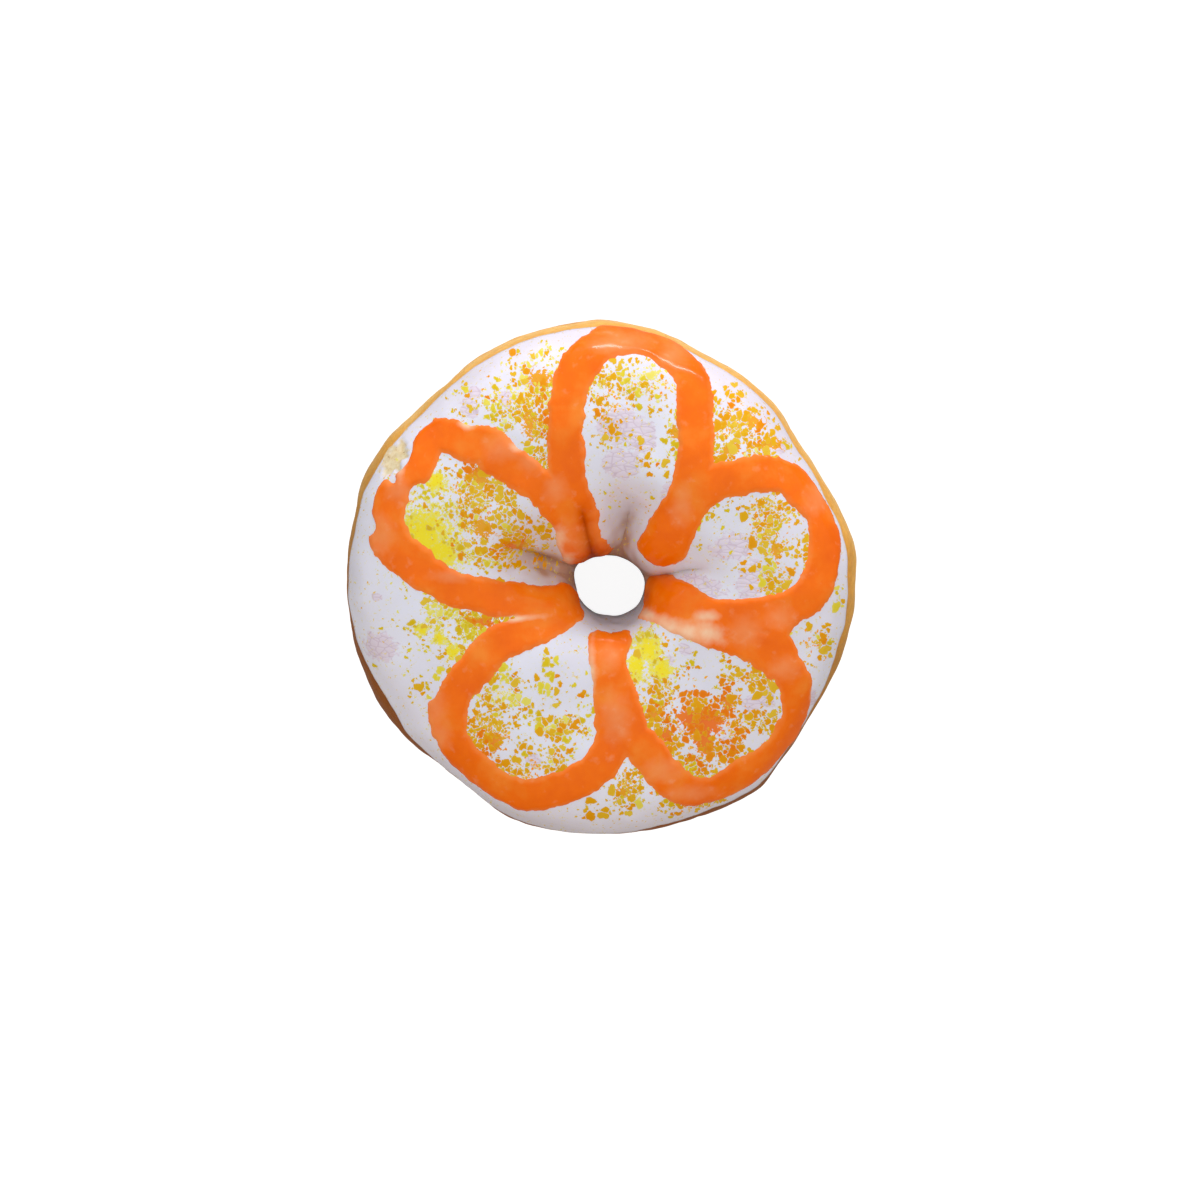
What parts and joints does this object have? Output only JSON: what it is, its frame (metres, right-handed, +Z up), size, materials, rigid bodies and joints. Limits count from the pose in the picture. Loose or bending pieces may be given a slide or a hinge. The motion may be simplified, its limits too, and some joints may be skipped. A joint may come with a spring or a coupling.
{
  "type": "iced ring doughnut",
  "caption": "Ring doughnut with white icing over its top and into its hole, a raised orange piped flower line and golden colour powder.",
  "frame": {"origin": "centre of the outline's box, on the flat of the underside that the doughnut rests on", "axes": "+Z up out of the iced top, +X to the right and +Y to the top of the picture"},
  "size_m": [0.0952, 0.0964, 0.0341],
  "materials": {
    "dough": "matte",
    "icing": "glossy"
  },
  "bodies": {
    "root": {"dough": "dough", "icing": "icing"}
  },
  "joints": []
}
